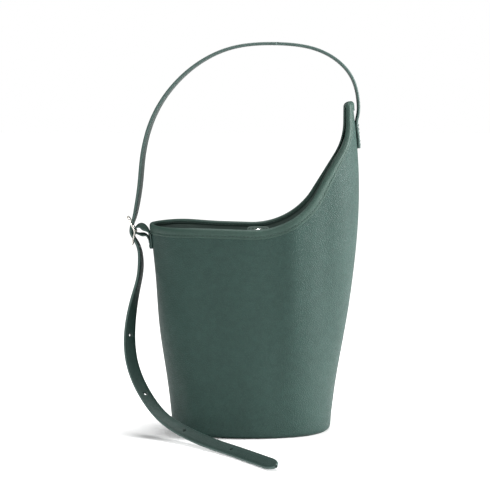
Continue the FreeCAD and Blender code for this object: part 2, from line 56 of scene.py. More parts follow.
# oval plan of the bag: height, half width, half depth, shift of the centre
LEVELS = [
    (0, 91.7, 70, -0.7),
    (60, 98.6, 71.5, -0.2),
    (120, 108.2, 73.5, 0.8),
    (180, 114.6, 75.8, 2.8),
    (240, 120, 78, 2.8),
    (310, 119.5, 78, 3.5),
    (386, 112, 76, 3.2),
]
END_ROUNDNESS = 0.93  # radius of the plan's ends, as a share of the half depth
FOOT_RADIUS = 6
LEATHER, LINING = 1.8, 0.7
LINING_OUT = -2.7  # the lining's outer side, seen from the outside of the leather
LINING_FLOOR = 4.0
PLY_GAP = 0.15  # between two layers that are sewn or glued together

# the rim: it tilts down to a bend, climbs a straight slope and bends upright at the peak
RIM_LOW, RIM_TILT = 237.5, radians(1.7)
LOW_BEND, LOW_BEND_X, HIGH_BEND, HIGH_BEND_Z = 84.0, 1.0, 70.0, 357.3
PEAK_EDGE, PEAK_TOP, PEAK_ROUND = 110.4, 381.5, 5.2
BAND, BAND_EDGE_ON = 11.0, 4.4
RIM_REACH = 125.0  # just past the bag's walls

STRAP_WIDE, STRAP_THICK = 16.0, 3.3
TAB_WIDE, TAB_THICK = 15.0, 1.6
HOLE_RADIUS = 2.0
STITCH_STEP, STITCH_LONG = 4.2, 3.0
BAR_RADIUS, WIRE_RADIUS, LEG = 1.2, 1.0, 16.5
UPPER_LEAN, LOWER_LEAN, PRONG_LEAN = (radians(angle) for angle in (25.8, 11, 33.6))


# --- curves

def natural_spline(xs, ys):
    """The natural cubic spline through the points, as a function."""
    xs, ys = np.array(xs, float), np.array(ys, float)
    gaps = np.diff(xs)
    slopes = np.diff(ys) / gaps
    system, right_side = np.eye(len(xs)), np.zeros(len(xs))
    for i in range(1, len(xs) - 1):
        system[i, i - 1:i + 2] = gaps[i - 1], 2 * (gaps[i - 1] + gaps[i]), gaps[i]
        right_side[i] = 6 * (slopes[i] - slopes[i - 1])
    bend = np.linalg.solve(system, right_side)

    def value(x):
        i = int(np.clip(np.searchsorted(xs, x) - 1, 0, len(xs) - 2))
        before, after, gap = x - xs[i], xs[i + 1] - x, gaps[i]
        curved = (bend[i] * after ** 3 + bend[i + 1] * before ** 3) / (6 * gap)
        low = (ys[i] / gap - bend[i] * gap / 6) * after
        high = (ys[i + 1] / gap - bend[i + 1] * gap / 6) * before
        return float(curved + low + high)
    return value


def chord_marks(points):
    """The length along the chords from the first point to each point."""
    marks = [0.0]
    for first, second in zip(points, points[1:]):
        marks.append(marks[-1] + (second - first).length)
    return marks


def smooth_route(points):
    """A curve through points as a function of length along the chords, and the points' marks."""
    points = [Vector(point) for point in points]
    marks = chord_marks(points)
    axes = [natural_spline(marks, [point[axis] for point in points]) for axis in range(3)]
    return (lambda mark: Vector([axis(mark) for axis in axes])), marks


def steps(low, high, count):
    return [low + (high - low) * i / (count - 1) for i in range(count)]


def smoothstep(value, low, high):
    share = min(max((value - low) / (high - low), 0.0), 1.0)
    return share * share * (3 - 2 * share)


def bell(value, centre, spread):
    """A smooth bump of height 1 round a centre."""
    return exp(-((value - centre) / spread) ** 2)


def corner_inset(from_end, radius):
    """How far a round corner pulls an edge in, at a distance from the end of the piece."""
    return radius - sqrt(radius ** 2 - max(0.0, radius - from_end) ** 2)


# --- the bag's form

HEIGHTS = [level[0] for level in LEVELS]
half_width, half_depth, centre_x = (natural_spline(HEIGHTS, [level[column] for level in LEVELS])
                                    for column in (1, 2, 3))


def oval(height):
    """The plan's centre, half gap between end centres, end and side radius, drop and turn."""
    end_radius = END_ROUNDNESS * half_depth(height)
    run = half_width(height) - end_radius
    depth = half_depth(height)
    side_radius = (run ** 2 + depth ** 2 - end_radius ** 2) / (2 * (depth - end_radius))
    drop = side_radius - depth
    return centre_x(height), run, end_radius, side_radius, drop, atan2(drop, run)


def slump(x, height, side):
    """How far the soft leather stands off its pattern form, in mm.

    Only the front is soft: a vertical fold with a flat facet on its right, and a dent low down
    on the left beside a slight swell.
    """
    if side > 0:
        return 0.0
    fold = 2.8 * bell(x, 46, 15) - 3.6 * bell(x, 86, 17)
    fold *= smoothstep(height, 4, 40) * (0.4 + 0.6 * smoothstep(height, 30, 190))
    fold *= 1 - 0.5 * smoothstep(height, 250, 330)
    dent = -1.2 * bell(x, -84, 8) * bell(height, 40, 30)
    swell = 0.8 * bell(x, -66, 13) * bell(height, 62, 52)
    return fold + (dent + swell) * smoothstep(height, 4, 16)


def wall(height, angle, out=0.0, side=1):
    """Point of the wall whose normal has this plan angle: 0 faces right, pi faces left.

    The front wall, side -1, is the back wall's mirror image apart from its slump.
    """
    centre, run, end_radius, side_radius, drop, turn = oval(height)
    if angle < turn:
        x, y, radius = run, 0, end_radius
    elif angle > pi - turn:
        x, y, radius = -run, 0, end_radius
    else:
        x, y, radius = 0, -drop, side_radius
    reach = radius + out + slump(centre + x + radius * cos(angle), height, side)
    return Vector((centre + x + reach * cos(angle), side * (y + reach * sin(angle)), height))


def angle_at(height, share):
    """Plan angle at a share of the way along the back wall from the right end to the left."""
    _, _, end_radius, side_radius, _, turn = oval(height)
    end, side = end_radius * turn, side_radius * (pi - 2 * turn)
    way = min(share, 1 - share) * (2 * end + side)
    angle = way / end_radius if way < end else turn + (way - end) / side_radius
    return angle if share < 0.5 else pi - angle


def angle_at_x(height, x):
    """Plan angle where the back wall stands at one x."""
    centre, run, end_radius, side_radius, _, turn = oval(height)
    away = abs(x - centre)
    if away > side_radius * cos(turn):
        angle = acos(min(1, (away - run) / end_radius))
    else:
        angle = acos(away / side_radius)
    return angle if x > centre else pi - angle


def end_x(side, height):
    """Where the leather's outside stands at one end, side -1 or 1."""
    return centre_x(height) + side * half_width(height)


def rim_line(deep):
    """The rim in the XZ plane, `deep` below the edge, as stretches of share -> (x, height).

    The first stretch starts and the last one ends a little past the bag's walls.
    """
    aside = BAND_EDGE_ON * deep / BAND
    low_middle = Vector((LOW_BEND_X, RIM_LOW + LOW_BEND))
    high_middle = Vector((PEAK_EDGE - HIGH_BEND, HIGH_BEND_Z))
    low_radius, high_radius = LOW_BEND + deep, HIGH_BEND + aside
    between = high_middle - low_middle
    slope = atan2(between.y, between.x) + asin((low_radius - high_radius) / between.length)
    shoulder_radius, top, down_turn = PEAK_ROUND - aside, PEAK_TOP - deep, 1.5 * pi
    shoulder_middle = Vector((PEAK_EDGE + aside + shoulder_radius, top - shoulder_radius))

    def bend(middle, radius, start, finish):
        def spot(share):
            turn = start + share * (finish - start)
            return middle.x + radius * cos(turn), middle.y + radius * sin(turn)
        return spot

    def straight(first, second):
        return lambda share: (first[0] + (second[0] - first[0]) * share,
                              first[1] + (second[1] - first[1]) * share)

    low = bend(low_middle, low_radius, down_turn - RIM_TILT, down_turn + slope)
    high = bend(high_middle, high_radius, down_turn + slope, 2 * pi)
    shoulder = bend(shoulder_middle, shoulder_radius, pi, pi / 2)
    foot_x, foot_z = low(0)
    start = (-RIM_REACH, foot_z + (foot_x + RIM_REACH) * tan(RIM_TILT))
    return [straight(start, (foot_x, foot_z)), low, straight(low(1), high(0)), high,
            straight(high(1), shoulder(0)), shoulder, straight(shoulder(1), (RIM_REACH, top))]


RIM_STEPS = (56, 40, 24, 28, 6, 8, 16)  # stations on the stretches of the rim
LAST = len(RIM_STEPS) - 1


def sag(x, side):
    """How far the soft rim lies above its pattern line on the low side of the mouth, in mm."""
    if side > 0:
        return 2.3 * bell(x, -84, 30) * smoothstep(-x, -20, 30)
    return -1.5 * bell(x, -96, 26) * smoothstep(-x, 10, 50)


def rim_point(stretch, share, deep, out, side):
    """A point of one half `deep` below the rim and `out` from the leather's outside."""
    line = rim_line(deep)
    if stretch in (0, LAST):  # at the ends the plan angle is the even measure
        inner_x, height = line[stretch](0.0 if stretch else 1.0)
        limit = angle_at_x(height, inner_x)
        angle = limit * (1 - share) if stretch else pi + (limit - pi) * share
        x = wall(height, angle, out).x
        if stretch == 0:
            height += (inner_x - x) * tan(RIM_TILT)
    else:
        x, height = line[stretch](share)
        angle = angle_at_x(height, x)
    return wall(height + sag(x, side), angle, out, side)


def rim_loop(deep, out):
    """The whole closed loop of the mouth at one depth and offset: back half, then front half."""
    places = [(stretch, i / count) for stretch, count in enumerate(RIM_STEPS) for i in range(count)]
    places.append((LAST, 1.0))
    back = [rim_point(*place, deep, out, 1) for place in places]
    front = [rim_point(*place, deep, out, -1) for place in reversed(places[1:-1])]
    return back + front


# --- meshes

def add_object(name, data):
    made = bpy.data.objects.new(name, data)
    bpy.context.scene.collection.objects.link(made)
    return made


def mesh_piece(name, points, faces, materials, face_material=None):
    """A smooth mesh object from points in millimetres, with materials by name."""
    mesh = bpy.data.meshes.new(name)
    mesh.from_pydata([Vector(point) * MM for point in points], [], faces)
    for material in materials:
        mesh.materials.append(MATERIALS[material])
    if face_material:
        mesh.polygons.foreach_set("material_index", face_material)
    mesh.shade_smooth()
    mesh.validate()
    return add_object(name, mesh)


def finish_piece(piece, body, slot, *nodes):
    """The piece rides on a body and stands for CAD nodes; slot is not used."""
    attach(piece, body)
    if nodes:
        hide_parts(*nodes)


def grid_faces(rows, columns, round_rows=False, round_columns=False, first=0):
    """Quads of a grid of points that is stored row by row."""
    faces = []
    for row in range(rows if round_rows else rows - 1):
        for column in range(columns if round_columns else columns - 1):
            a, b = first + row * columns, first + (row + 1) % rows * columns
            right = (column + 1) % columns
            faces.append((a + column, a + right, b + right, b + column))
    return faces


def rod_faces(rows, count, first=0):
    """Faces of a rod from rings of `count` points, then its two flat ends."""
    faces = grid_faces(rows, count, round_columns=True, first=first)
    faces.append(tuple(first + i for i in reversed(range(count))))
    faces.append(tuple(first + (rows - 1) * count + i for i in range(count)))
    return faces


def consistent(piece):
    """All faces of a closed mesh turned outwards."""
    form = bmesh.new()
    form.from_mesh(piece.data)
    bmesh.ops.recalc_face_normals(form, faces=form.faces)
    form.to_mesh(piece.data)
    form.free()
    return piece


def shell(name, grid, thick, material):
    """A closed shell from rows of outer points, `thick` deep on the inside."""
    floorward = 20  # the foot turns under, so outwards is also down
    rows, columns = len(grid), len(grid[0])
    outer = [point for row in grid for point in row]
    inner = []
    for r in range(rows):
        for c in range(columns):
            up = grid[min(r + 1, rows - 1)][c] - grid[max(r - 1, 0)][c]
            along = grid[r][min(c + 1, columns - 1)] - grid[r][max(c - 1, 0)]
            normal = along.cross(up).normalized()
            if normal.dot(Vector((grid[r][c].x, grid[r][c].y, -floorward))) < 0:
                normal.negate()
            inner.append(grid[r][c] - normal * thick)
    faces = grid_faces(rows, columns)
    total = rows * columns
    faces += [tuple(total + i for i in reversed(face)) for face in faces]
    border = list(range(columns))
    border += [r * columns + columns - 1 for r in range(1, rows)]
    border += [(rows - 1) * columns + c for c in range(columns - 2, -1, -1)]
    border += [r * columns for r in range(rows - 2, 0, -1)]
    for a, b in zip(border, border[1:] + border[:1]):
        faces.append((b, a, total + a, total + b))
    return consistent(mesh_piece(name, outer + inner, faces, [material]))


def subtract(piece, cutter):
    """Takes the cutter's space out of the piece."""
    change = piece.modifiers.new("cut", "BOOLEAN")
    change.object = cutter
    change.operation = "DIFFERENCE"
    change.solver = "EXACT"
    graph = bpy.context.evaluated_depsgraph_get()
    mesh = bpy.data.meshes.new_from_object(piece.evaluated_get(graph))
    piece.modifiers.clear()
    piece.data = mesh
    bpy.data.objects.remove(cutter)


def prism(name, outline, along):
    """A closed prism from an outline of points and a vector."""
    count = len(outline)
    points = list(outline) + [point + along for point in outline]
    faces = [tuple(reversed(range(count))), tuple(range(count, 2 * count))]
    faces += [(i, (i + 1) % count, count + (i + 1) % count, count + i) for i in range(count)]
    return consistent(mesh_piece(name, points, faces, []))


def stacked_rings(name, rings, material):
    """A closed solid from rings with equal counts, capped at both ends."""
    points = [point for ring in rings for point in ring]
    faces = rod_faces(len(rings), len(rings[0]))
    return consistent(mesh_piece(name, points, faces, [material]))


def lathe(name, outline, material, place, count=56):
    """A turned piece from (radius, height) points; its axis is the local Z of `place`."""
    turns = [2 * pi * i / count for i in range(count)]
    rings = [[place @ Vector((radius * cos(turn), radius * sin(turn), height))
              for turn in turns] for radius, height in outline]
    return stacked_rings(name, rings, material)


def oval_ring(plan_height, out, z, count=144):
    """A closed ring of the plan at one level, moved outwards and set at height z."""
    half = count // 2
    angles = [angle_at(plan_height, i / half) for i in range(half + 1)]
    ring = [wall(plan_height, angle, out) for angle in angles]
    ring += [wall(plan_height, angle, out, -1) for angle in reversed(angles[1:-1])]
    return [Vector((p.x, p.y, z)) for p in ring]


# --- thread

def stitch(points, faces, centre, along, out, long, radius=0.42):
    """Adds one stitch: a short thread whose ends dip into the leather."""
    side = along.cross(out).normalized()
    first = len(points)
    shape = [(-0.5, -0.35, 0.55), (-0.36, 0.02, 0.95), (0, 0.12, 1), (0.36, 0.02, 0.95),
             (0.5, -0.35, 0.55)]
    for way, lift, share in shape:
        for i in range(6):
            turn = pi * i / 3
            spot = centre + along * (way * long) + out * (lift + radius * share * cos(turn))
            points.append(spot + side * (radius * share * sin(turn)))
    faces += rod_faces(len(shape), 6, first)


def stitch_line(points, faces, line, outer_line, closed):
    """Adds stitches along a line; outer_line lies just outside it and gives their facing."""
    if closed:
        line, outer_line = line + line[:1], outer_line + outer_line[:1]
    marks = chord_marks(line)
    count = int(marks[-1] / STITCH_STEP)
    step = marks[-1] / count
    for number in range(count):
        mark = (number + 0.5) * step
        i = int(np.clip(np.searchsorted(marks, mark) - 1, 0, len(line) - 2))
        share = (mark - marks[i]) / (marks[i + 1] - marks[i])
        spot, outside = (each[i].lerp(each[i + 1], share) for each in (line, outer_line))
        along = (line[i + 1] - line[i]).normalized()
        stitch(points, faces, spot, along, (outside - spot).normalized(),
               STITCH_LONG * step / STITCH_STEP)


def sew(name, rows, *nodes):
    """A piece of stitches from rows: a line, the line outside it, and whether it is closed."""
    points, faces = [], []
    for row in rows:
        stitch_line(points, faces, *row)
    finish_piece(mesh_piece(name, points, faces, ["thread"]), "bag", "thread", *nodes)


# --- materials

def node_tree(name):
    """A new material with its tree, its shader and an object coordinate."""
    material = bpy.data.materials.new(name)
    material.use_nodes = True
    tree = material.node_tree
    shader = tree.nodes["Principled BSDF"]
    place = tree.nodes.new("ShaderNodeTexCoord").outputs["Object"]
    return material, tree, shader, place


def set_inputs(tree, node, values):
    """A node's inputs by name or number, as links or as plain values."""
    for name, value in values.items():
        if isinstance(value, bpy.types.NodeSocket):
            tree.links.new(value, node.inputs[name])
        else:
            node.inputs[name].default_value = value


def add_node(tree, kind, inputs, **settings):
    """A node with its settings and its inputs."""
    node = tree.nodes.new(kind)
    for name, value in settings.items():
        setattr(node, name, value)
    set_inputs(tree, node, inputs)
    return node


def noise_node(tree, place, scale, detail=3.0, rough=0.5):
    found = add_node(tree, "ShaderNodeTexNoise",
                     {"Vector": place, "Scale": scale, "Detail": detail, "Roughness": rough})
    return found.outputs["Fac"]


def remap(tree, value, low, high, to_low, to_high, smooth=False):
    inputs = {"Value": value, "From Min": low, "From Max": high, "To Min": to_low,
              "To Max": to_high}
    kind = "SMOOTHSTEP" if smooth else "LINEAR"
    return add_node(tree, "ShaderNodeMapRange", inputs, interpolation_type=kind).outputs["Result"]


def maths(tree, operation, first, second):
    return add_node(tree, "ShaderNodeMath", {0: first, 1: second}, operation=operation).outputs[0]


def mix_colour(tree, share, first, second):
    return add_node(tree, "ShaderNodeMix", {0: share, 6: first, 7: second},
                    data_type="RGBA").outputs[2]


def scaled(colour, share):
    return tuple(part * share for part in colour[:3]) + (1.0,)


def shades(tree, share, colour, low, high):
    """From a darker to a lighter shade of one colour."""
    return mix_colour(tree, share, scaled(colour, low), scaled(colour, high))


def bump(tree, shader, height, distance, strength):
    node = add_node(tree, "ShaderNodeBump",
                    {"Height": height, "Distance": distance, "Strength": strength})
    tree.links.new(node.outputs["Normal"], shader.inputs["Normal"])


def leather(name, colour, grain, deep, rough, specular=0.4, worn=0.0):
    """Leather: rounded pebbles `grain` mm across between fine creases, pores and a slow tone."""
    material, tree, shader, place = node_tree(name)
    warp = add_node(tree, "ShaderNodeTexNoise", {"Vector": place, "Scale": 160.0, "Detail": 2.0})
    moved = add_node(tree, "ShaderNodeVectorMath",
                     {0: warp.outputs["Color"], 1: (grain * MM * 0.5,) * 3}, operation="MULTIPLY")
    spot = add_node(tree, "ShaderNodeVectorMath", {0: place, 1: moved.outputs[0]}, operation="ADD")
    cells = add_node(tree, "ShaderNodeTexVoronoi",
                     {"Vector": spot.outputs[0], "Scale": 1 / (grain * MM)},
                     feature="DISTANCE_TO_EDGE")
    pebble = remap(tree, cells.outputs["Distance"], 0.0, 0.32, 0.0, 1.0, smooth=True)
    pores = noise_node(tree, place, 1 / (0.34 * MM), 2.0)
    slow = noise_node(tree, place, 21.0, 3.0)
    patchy = noise_node(tree, place, 130.0, 4.0, 0.6)
    height = maths(tree, "ADD", pebble, maths(tree, "MULTIPLY", pores, 0.35))
    crease = shades(tree, pebble, colour, 0.70, 1.05)
    tone = remap(tree, slow, 0.3, 0.7, 0.0, 1.0)
    shade = shades(tree, tone, colour, 0.90, 1.10)
    both = mix_colour(tree, 0.5, crease, shade)
    speck = mix_colour(tree, remap(tree, patchy, 0.42, 0.72, 0.0, 0.35 + worn), both,
                       scaled(colour, 1.35))
    gloss = remap(tree, maths(tree, "ADD", pebble, patchy), 0.3, 1.7, rough + 0.10, rough - 0.06)
    set_inputs(tree, shader,
               {"Base Color": speck, "Roughness": gloss, "Specular IOR Level": specular})
    bump(tree, shader, height, deep * MM, 1.0)
    return material


def suede(name, colour):
    """Flesh-side leather: short directionless nap with a pale bloom."""
    material, tree, shader, place = node_tree(name)
    fibres = noise_node(tree, place, 1 / (0.5 * MM), 6.0, 0.75)
    blotches = noise_node(tree, place, 260.0, 3.0)
    nap = shades(tree, fibres, colour, 0.72, 1.3)
    mixed = mix_colour(tree, remap(tree, blotches, 0.35, 0.65, 0.0, 0.5), nap, scaled(colour, 0.85))
    set_inputs(tree, shader, {"Base Color": mixed, "Roughness": 0.92, "Sheen Weight": 0.35,
                              "Sheen Roughness": 0.5})
    bump(tree, shader, fibres, 0.25 * MM, 0.8)
    return material


def cloth(name, colour, pitch):
    """Woven lining: two crossed sets of threads `pitch` mm apart on the walls."""
    material, tree, shader, place = node_tree(name)
    parts = add_node(tree, "ShaderNodeSeparateXYZ", {"Vector": place})
    turned = maths(tree, "ADD", parts.outputs["X"], parts.outputs["Y"])
    rate = 2 * pi / (pitch * MM)
    warp = maths(tree, "SINE", maths(tree, "MULTIPLY", turned, rate), 0.0)
    weft = maths(tree, "SINE", maths(tree, "MULTIPLY", parts.outputs["Z"], rate), 0.0)
    weave = remap(tree, maths(tree, "MULTIPLY", warp, weft), -1.0, 1.0, 0.0, 1.0)
    slow = noise_node(tree, place, 60.0, 4.0)
    tone = shades(tree, weave, colour, 0.75, 1.2)
    mixed = mix_colour(tree, remap(tree, slow, 0.35, 0.65, 0.0, 0.6), tone, scaled(colour, 0.8))
    set_inputs(tree, shader, {"Base Color": mixed, "Roughness": 0.85, "Sheen Weight": 0.2})
    bump(tree, shader, weave, 0.12 * MM, 0.7)
    return material


def thread(name, colour):
    """Waxed thread with the twist of its plies."""
    material, tree, shader, place = node_tree(name)
    twist = add_node(tree, "ShaderNodeTexWave",
                     {"Vector": place, "Scale": 900.0, "Distortion": 1.5})
    tone = shades(tree, twist.outputs["Fac"], colour, 0.7, 1.25)
    set_inputs(tree, shader, {"Base Color": tone, "Roughness": 0.5})
    bump(tree, shader, twist.outputs["Fac"], 0.08 * MM, 0.6)
    return material


def metal(name, colour, rough, scratch):
    """Plated metal with faint polishing lines and finger dulling."""
    material, tree, shader, place = node_tree(name)
    dull = noise_node(tree, place, 180.0, 4.0)
    lines = noise_node(tree, place, 2600.0, 2.0)
    tone = shades(tree, dull, colour, 0.9, 1.04)
    gloss = remap(tree, dull, 0.3, 0.7, rough, rough + 0.12)
    set_inputs(tree, shader, {"Base Color": tone, "Metallic": 1.0, "Roughness": gloss})
    bump(tree, shader, lines, 0.02 * MM, scratch)
    return material


def card(name, colour):
    """Stiffening board: pressed fibres."""
    material, tree, shader, place = node_tree(name)
    fibres = noise_node(tree, place, 700.0, 6.0, 0.7)
    tone = shades(tree, fibres, colour, 0.7, 1.25)
    set_inputs(tree, shader, {"Base Color": tone, "Roughness": 0.9})
    bump(tree, shader, fibres, 0.15 * MM, 0.5)
    return material


def paper(name, low, high):
    """Matt studio paper between two greys."""
    material, tree, shader, place = node_tree(name)
    tone = mix_colour(tree, noise_node(tree, place, 3.0), (low, low, low, 1), (high, high, high, 1))
    set_inputs(tree, shader, {"Base Color": tone, "Roughness": 0.9, "Specular IOR Level": 0.0})
    return material


BODY_COLOUR = (0.019, 0.051, 0.042)
STRAP_COLOUR = (0.013, 0.034, 0.028)
MATERIALS = {
    "body": leather("leather_body", BODY_COLOUR, 2.0, 0.24, 0.52, specular=0.3),
    "trim": leather("leather_trim", (0.029, 0.063, 0.050), 1.4, 0.10, 0.50, specular=0.3),
    "strap": leather("leather_strap", STRAP_COLOUR, 1.2, 0.09, 0.50),
    # edge: edge paint, coloured lighter than the strap and trim as a painted highlight where the
    # edges catch the light
    "edge": leather("edge_paint_and_highlight", (0.045, 0.085, 0.074), 0.9, 0.05, 0.42, specular=0.5),
    "patch": suede("leather_patch", (0.20, 0.27, 0.24)),
    "lining": cloth("lining_cloth", (0.075, 0.115, 0.100), 0.9),
    "thread": thread("thread", (0.030, 0.062, 0.052)),
    "buckle": metal("buckle_nickel", (0.82, 0.79, 0.73), 0.22, 0.3),
    "snap": metal("snap_nickel", (0.86, 0.86, 0.84), 0.16, 0.3),
    "magnet": metal("magnet_grey", (0.30, 0.30, 0.31), 0.45, 0.6),
    "board": card("board", (0.42, 0.36, 0.28)),
    "floor": paper("pale_floor", 0.90, 0.93),
}


# --- walls and base

SEAM_STEPS = (0.05, 0.4, 0.9, 1.6, 2.6, 4.2)  # mm from the side seam
SEAM_PINCH, SEAM_SPREAD = 0.9, 1.3
HALF_ROUND = 330.0  # about the way round half the plan
PANEL_COLUMNS = 96


def wall_shares():
    """Shares of the way round a half plan: even, with close columns at both side seams."""
    near = [distance / HALF_ROUND for distance in SEAM_STEPS]
    return near + steps(0.022, 0.978, PANEL_COLUMNS) + [1 - share for share in reversed(near)]


def wall_grid(side, out, floor, top):
    """Rows of points up one half of the wall from its turned foot, with the seams pulled in."""
    radius = FOOT_RADIUS + out
    arc = [floor + radius * (1 - cos(turn)) for turn in steps(0.0, pi / 2, 9)]
    heights = arc + steps(arc[-1] + 5, top, 72)
    grid = []
    for height in heights:
        inset = corner_inset(height - floor, radius)
        row = []
        for share in wall_shares():
            from_seam = min(share, 1 - share) * HALF_ROUND
            pinch = SEAM_PINCH * bell(from_seam, 0, SEAM_SPREAD) if out == 0 else 0.0
            row.append(wall(height, angle_at(height, share), out - inset - pinch, side))
        grid.append(row)
    return grid


def above_rim(deep, side):
    """A prism that takes away everything above one half's rim line, `deep` below the edge."""
    line = rim_line(deep)
    reach, sky = 200.0, 480.0
    spots = [line[0](share) for share in steps(0.0, 1.0, 40)]
    for stretch, count in zip(line[1:LAST], (40, 2, 28, 2, 8)):
        spots += [stretch(i / count) for i in range(1, count + 1)]
    outline = [Vector((x, reach, z + sag(x, side))) for x, z in spots]
    top = PEAK_TOP - deep
    outline += [Vector((x, reach, z)) for x, z in ((reach, top), (reach, sky), (-reach, sky),
                                                    (-reach, outline[0].z))]
    return prism("rim_cutter", outline, Vector((0, -2 * reach, 0)))


UNDER_FOLD, LINING_UNDER_FOLD = 1.4, 1.6  # where leather and lining end below the rim
WALL_TOP, LINING_TOP = 380.0, 378.0  # before they are cut to the rim


def make_walls():
    for name, side in (("back", 1), ("front", -1)):
        panel = shell(f"{name}_shell", wall_grid(side, 0.0, 0.0, WALL_TOP), LEATHER, "body")
        subtract(panel, above_rim(UNDER_FOLD, side))
        finish_piece(panel, "bag", "leather_body", f"{name}_panel")
        cloth_grid = wall_grid(side, LINING_OUT, LINING_FLOOR, LINING_TOP)
        inside = shell(f"{name}_lining_cloth", cloth_grid, LINING, "lining")
        subtract(inside, above_rim(LINING_UNDER_FOLD, side))
        finish_piece(inside, "bag", "lining", f"{name}_lining")


# from the foot's inner edge inwards, and height: the sole's rolled edge and the lining's floor
SOLE = ((1.2, 0.02), (0.5, 0.1), (0.1, 0.45), (0, 1.0), (0.1, LEATHER))
INNER_FLOOR = ((0.2, LINING_FLOOR), (0, LINING_FLOOR + 0.3), (0.4, LINING_FLOOR + LINING))


def make_base():
    for name, edge, material, slot, node in (
            ("base_sole", SOLE, "body", "leather_body", "base_panel"),
            ("base_lining_cloth", INNER_FLOOR, "lining", "lining", "base_lining")):
        rings = [oval_ring(0, -FOOT_RADIUS - PLY_GAP - inwards, z) for inwards, z in edge]
        finish_piece(stacked_rings(name, rings, material), "bag", slot, node)


# --- rim

# round the folded strip: depth below the rim and distance out from the leather's outside
BINDING = [
    (10.9, 0.1), (11.05, 0.55), (10.95, 1.0), (10.5, 1.3), (9.6, 1.42), (8.7, 1.38), (8.2, 1.05),
    (7.8, 1.05), (7.3, 1.40), (5.8, 1.62), (4.2, 1.66), (2.8, 1.50), (1.7, 1.10), (0.8, 0.4),
    (0.22, -0.5), (0.0, -1.6), (0.12, -2.7), (0.6, -3.7), (1.5, -4.5), (2.6, -4.85), (3.4, -4.85),
    (3.9, -4.6), (4.3, -4.6), (4.7, -4.75), (5.3, -4.6), (5.55, -4.15), (5.5, -3.55),
    (3.5, -3.5), (1.9, -2.9), (1.3, -1.6), (1.9, -0.2), (3.5, 0.05),
]
OUTER_ROW, INNER_ROW = (8.0, 1.12), (4.1, -4.62)  # where the two rows of stitches lie


def make_rim():
    loops = [rim_loop(deep, out) for deep, out in BINDING]
    stations = len(loops[0])
    points = [loop[i] for i in range(stations) for loop in loops]
    faces = grid_faces(stations, len(BINDING), round_rows=True, round_columns=True)
    binding = consistent(mesh_piece("rim_strip", points, faces, ["trim"]))
    finish_piece(binding, "bag", "leather_trim", "rim_binding")

    sew("rim_stitches", [(rim_loop(deep, out), rim_loop(deep, out + way), True)
                         for (deep, out), way in ((OUTER_ROW, 1), (INNER_ROW, -1))])


# --- snap

SNAP_X, SNAP_Z, PATCH_Y = 8.0, 220.2, 73.0
SNAP_LEAN = radians(2.4)
PATCH = (27.0, 23.4, 1.5, 4.0)  # width, height, thickness, corner radius


def snap_place(side):
    """Local Z points to the middle of the bag, local Y up, from the back of the patch."""
    lean = Matrix.Rotation(-side * SNAP_LEAN, 4, "X")
    face = Matrix.Rotation(side * pi / 2, 4, "X")
    return Matrix.Translation((SNAP_X, side * PATCH_Y, SNAP_Z)) @ lean @ face


def rounded_outline(wide, tall, radius, inset, height):
    """A rectangle with round corners, moved inwards, as points in its own plane."""
    points = []
    for quarter, (x, y) in enumerate(((1, 1), (-1, 1), (-1, -1), (1, -1))):
        for turn in steps(quarter * pi / 2, (quarter + 1) * pi / 2, 7):
            reach = max(radius - inset, 0.3)
            points.append(Vector((x * (wide / 2 - radius) + reach * cos(turn),
                                  y * (tall / 2 - radius) + reach * sin(turn), height)))
    return points


def make_patch(name, side):
    wide, tall, thick, radius = PATCH
    place = snap_place(side)
    layers = [(0.3, 0.0), (0.0, 0.3), (0.0, thick - 0.5), (0.15, thick - 0.15), (0.5, thick),
              (1.7, thick), (2.0, thick - 0.25), (2.3, thick), (4.5, thick + 0.1)]
    rings = [[place @ p for p in rounded_outline(wide, tall, radius, inset, height)]
             for inset, height in layers]
    patch = stacked_rings(f"{name}_patch", rings, "patch")
    finish_piece(patch, "bag", "leather_patch", f"{name}_snap_patch")
    line, above = ([place @ p for p in rounded_outline(wide, tall, radius, 2.0, thick + lift)]
                   for lift in (-0.15, 1))
    sew(f"{name}_patch_stitches", [(line, above, True)])


# the pressed casing with its recess, and the stud with its nub: radius and height
CASING = [(8.2, 0.0), (8.9, 0.25), (9.0, 0.8), (8.8, 1.5), (8.2, 2.1), (7.5, 2.38), (6.9, 2.4),
          (6.6, 2.3), (6.5, 2.0), (6.5, 1.45), (0.0001, 1.4)]
STUD = [(8.2, 0.0), (8.9, 0.2), (9.0, 0.5), (8.7, 0.85), (8.0, 1.0), (3.6, 1.0), (3.1, 1.1),
        (3.0, 1.4), (3.0, 1.9), (2.8, 2.25), (2.4, 2.4), (0.0001, 2.42)]
SNAP_GAP = 0.05


def make_snap():
    for name, outline, side in (("socket", CASING, 1), ("stud", STUD, -1)):
        turned = [(radius, PATCH[2] + SNAP_GAP + height) for radius, height in outline]
        disc = lathe(f"{name}_disc", turned, "snap", snap_place(side))
        finish_piece(disc, "bag", "snap_metal", f"snap_{name}")
    make_patch("back", 1)
    make_patch("front", -1)


# --- strips of leather

EDGE_ROUNDING = 0.42  # as a share of the strip's thickness
CREASE = ((1.75, 0), (2.05, 0.22), (2.35, 0))  # from the edge inwards, and depth
BOW_LEVEL = 0.3  # share of a bow above the middle line


def strip_section(wide, thick, creased):
    """Quarter turn round a strip's section: (across, face) points with round edge and crease."""
    half, rounding = wide / 2, EDGE_ROUNDING * thick
    edge = [(half - rounding * (1 - cos(turn)), thick / 2 * sin(turn))
            for turn in steps(0.0, pi / 2, 5)]
    if creased:
        edge += [(half - inwards, thick / 2 - deep) for inwards, deep in CREASE]
    return edge + [(half * 0.42, thick / 2 + 0.06), (0.0, thick / 2 + 0.1)]


